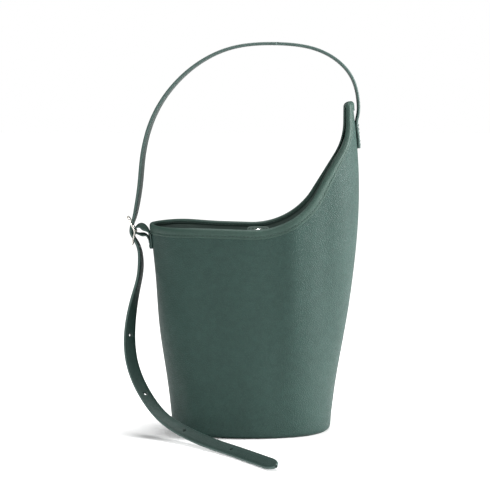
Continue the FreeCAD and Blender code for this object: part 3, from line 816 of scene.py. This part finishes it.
def strip(name, stations, thick, materials, creased=True):
    """A swept strip; a station is its middle, across and face vectors, width and crown."""
    points, marks = [], []
    for middle, across, face, wide, crown in stations:
        quarter = strip_section(wide, thick, creased)
        outline = quarter + [(-a, f) for a, f in reversed(quarter[:-1])]
        outline += [(a, -f) for a, f in reversed(outline[1:-1])]
        for a, f in outline:
            bowed = crown * (BOW_LEVEL - (2 * a / wide) ** 2)
            points.append(middle + across * a + face * (f + bowed))
    count = len(points) // len(stations)
    faces = rod_faces(len(stations), count)
    # the edge faces and the two end caps take the second material: edge paint made lighter as a
    # painted highlight
    edge_columns, half_round = 3, 2 * len(quarter) - 2
    for face in faces[:-2]:
        turned = (face[0] % count + 0.5) % half_round
        marks.append(int(not edge_columns <= turned <= half_round - edge_columns))
    marks += [1, 1]
    piece = mesh_piece(name, points, faces, materials, marks)
    for end in piece.data.polygons[-2:]:
        end.use_smooth = False
    return consistent(piece)


def on_peak(height):
    """Where the middle of the strap stands, flat against the leather of the peak."""
    return end_x(1, height) + PLY_GAP + STRAP_THICK / 2


# the strap as one route from its sewn end on the peak to the free tip: x, y, z, turn of its
# width about the vertical, and tilt of its width
STRAP = [
    (on_peak(327), 0, 327, 0, 0), (on_peak(344), 0, 344, 0, 0), (on_peak(359) + 0.5, 0, 359, 0, 0),
    (122.2, 0, 366, 0, 0), (122.4, 0, 382, 0, 0), (115.3, 0, 408, 0, 0), (84, 0, 436.7, 0, 0),
    (29, 0, 447.3, 0, 0), (-27, 0, 441.4, 4, 0), (-83, 0, 407, 8, 0), (-114, 0, 362, 10, 0),
    (-126.6, 0, 313, 12, 0), (-129.3, 0, 285, 12, 0), (-133.6, 0, 258, 10, 0),
    (-136.2, 0, 246.5, 6, 0), (-138.3, 0, 240, 2, 0), (-140, 0, 233.5, 0, 0),
    (-139.7, 0, 229, 0, 0), (-137, 0, 224, 1, 0), (-133.4, 0, 218, 4, 0),
    (-130.8, 0, 211.6, 6, 0), (-128.9, -1, 197, 13, 0), (-129.9, -5, 180, 15, 0),
    (-134.2, -11, 160, 21.5, 0), (-138.4, -18.5, 138, 34, 0), (-140.6, -26, 113, 46, 0),
    (-137.2, -37, 82.5, 55, 2), (-121.5, -54, 49, 60, 5), (-101, -73, 26.5, 58, 12),
    (-75.4, -98, 14, 56, 25), (-48.5, -131, 8.1, 53, 27), (-22.5, -166, 6, 57, 28),
    (3.5, -211, 5.6, 60, 29), (16.5, -235, 5.6, 60, 29), (23.6, -248.5, 5.4, 60, 29),
]
# where the strap is parted, as places in the list above
PEAK_SEAM, APEX, BUCKLE_SEAM, THREAD_SLOT, TAIL_SEAM, TIP = 2.5, 7, 13.35, 15.72, 19.85, 34
HOLES = (25, 27, 29, 31)
TIP_LONG, PAST_TIP = 19.0, 1.2
SLOT_RADIUS, SLOT_STRETCH, PUNCH_LONG = 2.1, 6.0, 14
ANCHOR_CORNER = 4.0
SEAM_BLEND, TAIL_BLEND = 38, 62  # lengths along the strap from the seams; the points they reach are found but not used
FINE_STEP, COARSE_STEP = 1.3, 2.6


class StrapRoute:
    """The strap's middle line with its width direction."""

    def __init__(self):
        self.point, self.marks = smooth_route([row[:3] for row in STRAP])
        self.turn = natural_spline(self.marks, [radians(row[3]) for row in STRAP])
        self.tilt = natural_spline(self.marks, [radians(row[4]) for row in STRAP])

    def mark(self, place):
        """Length along the route at a place in the list, which may lie between two points."""
        return float(np.interp(place, range(len(self.marks)), self.marks))

    def station(self, mark):
        middle = self.point(mark)
        along = (self.point(mark + 0.1) - self.point(mark - 0.1)).normalized()
        turn, tilt = self.turn(mark), self.tilt(mark)
        across = Vector((sin(turn) * cos(tilt), cos(turn) * cos(tilt), sin(tilt)))
        across = (across - along * across.dot(along)).normalized()
        return middle, across, across.cross(along).normalized()

    def place_at(self, place):
        """A placement on the strap: local X across, local Y along and local Z the face."""
        middle, across, face = self.station(self.mark(place))
        along = face.cross(across)
        rows = [[across[i], along[i], face[i], middle[i]] for i in range(3)]
        return Matrix(rows + [[0, 0, 0, 1]])

    def stations(self, start, finish, step):
        low, high = self.mark(start), self.mark(finish)
        marks = steps(low, high, max(3, int((high - low) / step)))
        return [(*self.station(mark), STRAP_WIDE, 0.0) for mark in marks]


def tip_width(to_go):
    """The strap's width, given the length to go to the very end of its rounded tip."""
    away = min(max(1 - to_go / TIP_LONG, 0.0), 1.0)
    return STRAP_WIDE * sqrt(max(1 - away ** 2.2, 0.02))


def tail_stations(route):
    """Stations of the free end, close together round its tip."""
    last = route.mark(TIP) + PAST_TIP
    marks = steps(route.mark(TAIL_SEAM), last - TIP_LONG, 110)[:-1]
    marks += [last - TIP_LONG * (1 - sin(turn)) for turn in steps(0.0, pi / 2, 16)]
    return [(*route.station(mark), tip_width(last - mark), 0.0) for mark in marks]


def punch(name, place, radius, stretch=0.0):
    """A round or slotted cutter along the local Z of `place`, stretched along local Y."""
    outline = []
    for i in range(28):
        turn = 2 * pi * i / 28
        shift = copysign(stretch / 2, sin(turn)) if stretch else 0.0
        outline.append(place @ Vector((radius * cos(turn), radius * sin(turn) + shift,
                                       -PUNCH_LONG / 2)))
    return prism(name, outline, place.to_3x3() @ Vector((0, 0, PUNCH_LONG)))


def strap_strip(name, stations):
    return strip(name, stations, STRAP_THICK, ["strap", "edge"])


def make_anchor(route):
    """The end that is sewn to the peak, with two round corners."""
    anchor = route.stations(0, PEAK_SEAM, FINE_STEP)
    rounded = []
    for middle, across, face, wide, crown in anchor:
        inset = corner_inset((middle - anchor[0][0]).length, ANCHOR_CORNER)
        rounded.append((middle, across, face, wide - 2 * inset, crown))
    finish_piece(strap_strip("strap_sewn_end", rounded), "bag", "leather_strap", "strap_anchor")


def make_arc(route):
    """The standing arc as two halves that meet at its top."""
    for name, seam, way in (("right", PEAK_SEAM, 1), ("left", BUCKLE_SEAM, -1)):
        stations = route.stations(min(seam, APEX), max(seam, APEX), COARSE_STEP)
        half = strap_strip(f"strap_arc_{name}", stations)
        start = route.point(route.mark(seam))
        end = route.point(route.mark(seam) + way * SEAM_BLEND)
        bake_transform(half)
        if name == "left":
            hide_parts("shoulder_strap")


def make_threaded(route):
    """The length in the buckle, with the slot that the prong goes through."""
    stations = route.stations(BUCKLE_SEAM, TAIL_SEAM, FINE_STEP)
    threaded = strap_strip("strap_in_buckle_leather", stations)
    subtract(threaded, punch("prong_slot", route.place_at(THREAD_SLOT), SLOT_RADIUS, SLOT_STRETCH))
    finish_piece(threaded, "bag", "leather_strap", "strap_in_buckle")


def make_free_end(route):
    """The free end with its spare holes."""
    tail = strap_strip("strap_free_end", tail_stations(route))
    for hole in HOLES:
        subtract(tail, punch("hole", route.place_at(hole), HOLE_RADIUS))
    top, low = (route.point(route.mark(TAIL_SEAM) + reach) for reach in (0, TAIL_BLEND))
    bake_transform(tail)
    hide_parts("strap_tail")


def make_strap():
    route = StrapRoute()
    make_anchor(route)
    make_arc(route)
    make_threaded(route)
    make_free_end(route)


# --- tab

BAR = (-135.3, 232.0)
TAB_LOW, TAB_SEWN_HIGH, UNDER_SEWN_HIGH, TAB_OVER_BAND = 211.0, 221.0, 219.0, 226.5
ROUND_BAR = range(115, 256, 28)  # degrees
# middle of the folded tab between its sewn ends, x and z: over the gap, then under it
TAB_ARCH = [(-119.4, 231), (-121.6, 234.5), (-125.2, 237.7), (-129.3, 238.9), (-133, 237.1)]
TAB_UNDER = [(-130.6, 228.4), (-126.3, 228.1), (-122.3, 226.9), (-120, 223.3)]
# how the tab bows across its width: place in its route, length along it and height
PUFF, TUCK, DIP = (6, 7.5, 4.6), (-6, 4.0, -1.2), (3, 3.5, -2.2)
TAB_ROLL, TUCK_ROLL = radians(17), 0.6  # sideways roll, and the tuck's share of it
TAB_CORNER = 3.0
TAB_SLOT = (8.0, 4.4, 2.0)  # long, wide and corner radius
SLOT_BELOW, SLOT_TALL = 4.0, 8.5  # from below the bar, and how far up
BAND_THICK = 1.3  # the tab steps over the rim's band


def tab_route():
    """Middle line of the folded strip, as in the CAD: up the wall, round the bar and back."""
    inner = PLY_GAP + TAB_THICK / 2
    outer = inner + TAB_THICK + PLY_GAP
    turn_radius = BAR_RADIUS + inner
    sewn = (TAB_LOW, (TAB_LOW + TAB_SEWN_HIGH) / 2, TAB_SEWN_HIGH)
    route = [(end_x(-1, z) - inner, z) for z in sewn]
    route += [(end_x(-1, TAB_OVER_BAND) - BAND_THICK - inner, TAB_OVER_BAND), *TAB_ARCH]
    for degrees in ROUND_BAR:
        turn = radians(degrees)
        route.append((BAR[0] + turn_radius * cos(turn), BAR[1] + turn_radius * sin(turn)))
    route += TAB_UNDER
    route += [(end_x(-1, z) - outer, z) for z in (UNDER_SEWN_HIGH, *reversed(sewn[:2]))]
    return [(x, 0, z) for x, z in route]


def make_tab():
    """The folded tab: it puffs over the buckle's bar, and has a slot for the prong."""
    point, marks = smooth_route(tab_route())
    stations = []
    for mark in steps(0.0, marks[-1], 90):
        along = (point(mark + 0.05) - point(mark - 0.05)).normalized()
        puff, tuck, dip = (bell(mark, marks[place], long) for place, long, _ in (PUFF, TUCK, DIP))
        crown = puff * PUFF[2] + tuck * TUCK[2] + dip * DIP[2]
        roll = TAB_ROLL * max(puff, TUCK_ROLL * tuck)
        across = Vector((0, cos(roll), sin(roll)))
        wide = TAB_WIDE - 2 * corner_inset(min(mark, marks[-1] - mark), TAB_CORNER)
        stations.append((point(mark), across, across.cross(along).normalized(), wide, crown))
    tab = strip("tab_leather", stations, TAB_THICK, ["trim", "edge"], False)
    outline = [Vector((BAR[0] + p.x, p.y, BAR[1] - SLOT_BELOW))
               for p in rounded_outline(*TAB_SLOT, 0.0, 0.0)]
    subtract(tab, prism("tab_slot", outline, Vector((0, 0, SLOT_TALL))))
    finish_piece(tab, "bag", "leather_trim", "buckle_tab")


STITCH_INSET = 2  # from the edges of the tab and the strap
ANCHOR_ROWS = (329.5, 356)


def sewn_rows(name, node, side, low, high, off_wall):
    """Two rows of stitches up a sewn end, `off_wall` out from the leather."""
    rows = []
    for y in (STITCH_INSET - TAB_WIDE / 2, TAB_WIDE / 2 - STITCH_INSET):
        line = [Vector((end_x(side, z) + side * off_wall, y, z)) for z in steps(low, high, 9)]
        rows.append((line, [p + Vector((side, 0, 0)) for p in line], False))
    sew(name, rows, node)


# --- buckle

ACROSS = Vector((0, 1, 0))


def tube(name, path, radii, closed=False, flat=1.0, count=14):
    """A rod of the buckle along points; flat is its thickness as a share of its width."""
    points = []
    total = len(path)
    for i, spot in enumerate(path):
        before = path[i - 1] if closed or i else path[0]
        after = path[(i + 1) % total] if closed or i < total - 1 else path[-1]
        along = (after - before).normalized()
        wide = ACROSS - along * ACROSS.dot(along)
        if wide.length < 0.01:
            wide = along.orthogonal()
        wide.normalize()
        thin = along.cross(wide)
        for n in range(count):
            turn = 2 * pi * n / count
            points.append(spot + wide * (radii[i] * cos(turn))
                          + thin * (flat * radii[i] * sin(turn)))
    faces = grid_faces(total, count, True, True) if closed else rod_faces(total, count)
    return consistent(mesh_piece(name, points, faces, ["buckle"]))


BAR_SPOT = Vector((BAR[0], 0, BAR[1]))
UPPER_LEG = Vector((-sin(UPPER_LEAN), 0, cos(UPPER_LEAN)))
LOWER_LEG = Vector((-sin(LOWER_LEAN), 0, -cos(LOWER_LEAN)))
FRAME_HALF, FRAME_CORNER, FRAME_FROM_BAR = 10.0, 3.2, 0.6
# half of the centre bar: distance from its middle, and radius
BAR_SHAPE = [(0, BAR_RADIUS), (8.2, BAR_RADIUS), (8.9, 1.5), (9.9, 1.45), (10.4, 1.0)]

PRONG_FLAT = 0.72  # thickness as a share of its width
EYE_STEPS, EYE_START, EYE_WIRE = 22, radians(-292), 1.0
SHANK = [(2.5, 1.4), (5, 0.6), (9, 0.1)]  # reach along the prong and distance out
HOOK, HOOK_RADIUS = (215, 190, 160, 130, 100, 78), 1.9  # degrees round the frame's end
PRONG_RADII = [1.05, 1.1, 1.1, 1.05, 1.0, 1.0, 0.95, 0.85, 0.6]  # past the eye


def frame_path():
    """Middle line of the buckle's frame: two round-cornered loops that meet at a kink."""
    half, corner = FRAME_HALF, FRAME_CORNER
    path = []
    for direction, flip in ((UPPER_LEG, 1), (LOWER_LEG, -1)):
        flat = [(half, reach) for reach in steps(FRAME_FROM_BAR, LEG - corner, 6)]
        for turn in steps(0.0, pi / 2, 8)[1:]:
            flat.append((half - corner + corner * cos(turn), LEG - corner + corner * sin(turn)))
        flat += [(y, LEG) for y in steps(half - corner, 0.0, 5)[1:]]
        flat += [(-y, reach) for y, reach in reversed(flat[:-1])]
        path += [BAR_SPOT + Vector((0, flip * y, 0)) + direction * reach for y, reach in flat]
    return path


def make_frame():
    """The bent wire of the frame, with its centre bar."""
    path = frame_path()
    loop = tube("loop", path, [WIRE_RADIUS] * len(path), closed=True, count=16)
    shape = [(-y, radius) for y, radius in reversed(BAR_SHAPE[1:])] + BAR_SHAPE
    bar = tube("centre_bar", [Vector((BAR[0], y, BAR[1])) for y, _ in shape],
               [radius for _, radius in shape], count=20)
    finish_piece(merge("buckle_loops", [loop, bar]), "buckle", "buckle_metal", "buckle_frame")


def make_prong():
    """The prong: an eye round the bar, a shank and a hook over the frame's end."""
    up = Vector((-sin(PRONG_LEAN), 0, cos(PRONG_LEAN)))
    outward = Vector((-cos(PRONG_LEAN), 0, -sin(PRONG_LEAN)))
    eye = BAR_RADIUS + PRONG_FLAT * EYE_WIRE
    path = [BAR_SPOT + (outward * cos(turn) - up * sin(turn)) * eye
            for turn in steps(EYE_START, 0.0, EYE_STEPS)]
    path += [BAR_SPOT + outward * out + up * reach for reach, out in SHANK]
    for turn in (radians(degrees) for degrees in HOOK):
        ray = Vector((cos(turn), 0, sin(turn)))
        path.append(BAR_SPOT + LEG * UPPER_LEG + HOOK_RADIUS * ray)
    prong = tube("prong_rod", path, [EYE_WIRE] * EYE_STEPS + PRONG_RADII, flat=PRONG_FLAT)
    finish_piece(prong, "prong", "buckle_metal", "buckle_prong")


def merge(name, pieces):
    """One object from several."""
    form = bmesh.new()
    for piece in pieces:
        form.from_mesh(piece.data)
    mesh = bpy.data.meshes.new(name)
    form.to_mesh(mesh)
    form.free()
    mesh.materials.append(pieces[0].data.materials[0])
    for piece in pieces:
        bpy.data.objects.remove(piece)
    return add_object(name, mesh)


# --- hidden CAD nodes

HIDDEN = {"base_board": "board", "peak_backing": "board", "tab_backing": "board",
          "socket_washer": "snap", "stud_washer": "snap", "snap_magnet": "magnet"}


def finish_hidden():
    for node, material in HIDDEN.items():
        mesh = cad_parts[node].data
        mesh.materials.clear()
        mesh.materials.append(MATERIALS[material])


# --- floor, light and camera

def make_floor():
    reach = 30000.0
    corners = [(-reach, -reach, 0), (reach, -reach, 0), (reach, reach, 0), (-reach, reach, 0)]
    mesh_piece("floor", corners, [(0, 1, 2, 3)], ["floor"])


def add_lamp(name, kind, strength, direction, **settings):
    """A white lamp that shines along a direction."""
    lamp = bpy.data.lights.new(name, kind)
    lamp.energy = strength
    for setting, value in settings.items():
        setattr(lamp, setting, value)
    holder = add_object(name, lamp)
    holder.rotation_euler = Vector(direction).to_track_quat("-Z", "Y").to_euler()
    return holder


def soft_light(name, place, target, wide, tall, watts):
    """A rectangular lamp that faces its target; places and sizes are in metres."""
    holder = add_lamp(name, "AREA", watts, Vector(target) - Vector(place), shape="RECTANGLE",
                      size=wide, size_y=tall)
    holder.location = place


def make_light():
    """A white surround that lights only a little, a top light, a front fill and a right key."""
    world = bpy.data.worlds.new("studio")
    bpy.context.scene.world = world
    world.use_nodes = True
    tree = world.node_tree
    back = tree.nodes["Background"]
    seen = tree.nodes.new("ShaderNodeLightPath").outputs["Is Camera Ray"]
    tree.links.new(remap(tree, seen, 0.0, 1.0, 0.14, 1.0), back.inputs["Strength"])
    back.inputs["Color"].default_value = (1.0, 1.0, 1.0, 1)
    add_lamp("top", "SUN", 3.4, (0.02, -0.10, -1), angle=radians(28))
    soft_light("front_fill", (-0.5, -2.3, 1.5), (0.0, 0.0, 0.25), 1.4, 1.2, 27)
    soft_light("right_key", (1.84, -0.10, 0.80), (0.0, 0.0, 0.2), 0.6, 0.9, 75)
    bpy.context.scene.view_settings.view_transform = "Standard"


def make_camera():
    """Level with the peak, a little over two metres in front, looking slightly down."""
    lens = bpy.data.cameras.new("camera")
    lens.lens = 129.8
    lens.sensor_width = 36
    camera = add_object("camera", lens)
    camera.location = (-0.008, -2.044, 0.367)
    camera.rotation_euler = (radians(90 - 4.25), 0, 0)
    bpy.context.scene.camera = camera


def main():
    make_camera()
    make_floor()
    make_light()
    make_walls()
    make_base()
    make_rim()
    make_snap()
    make_strap()
    make_tab()
    sewn_rows("tab_stitches", "tab_stitching", -1, TAB_LOW + 0.8, TAB_SEWN_HIGH + 0.5,
              2 * (TAB_THICK + PLY_GAP))
    sewn_rows("anchor_stitches", "anchor_stitching", 1, *ANCHOR_ROWS, STRAP_THICK + PLY_GAP)
    make_frame()
    make_prong()
    finish_hidden()


main()
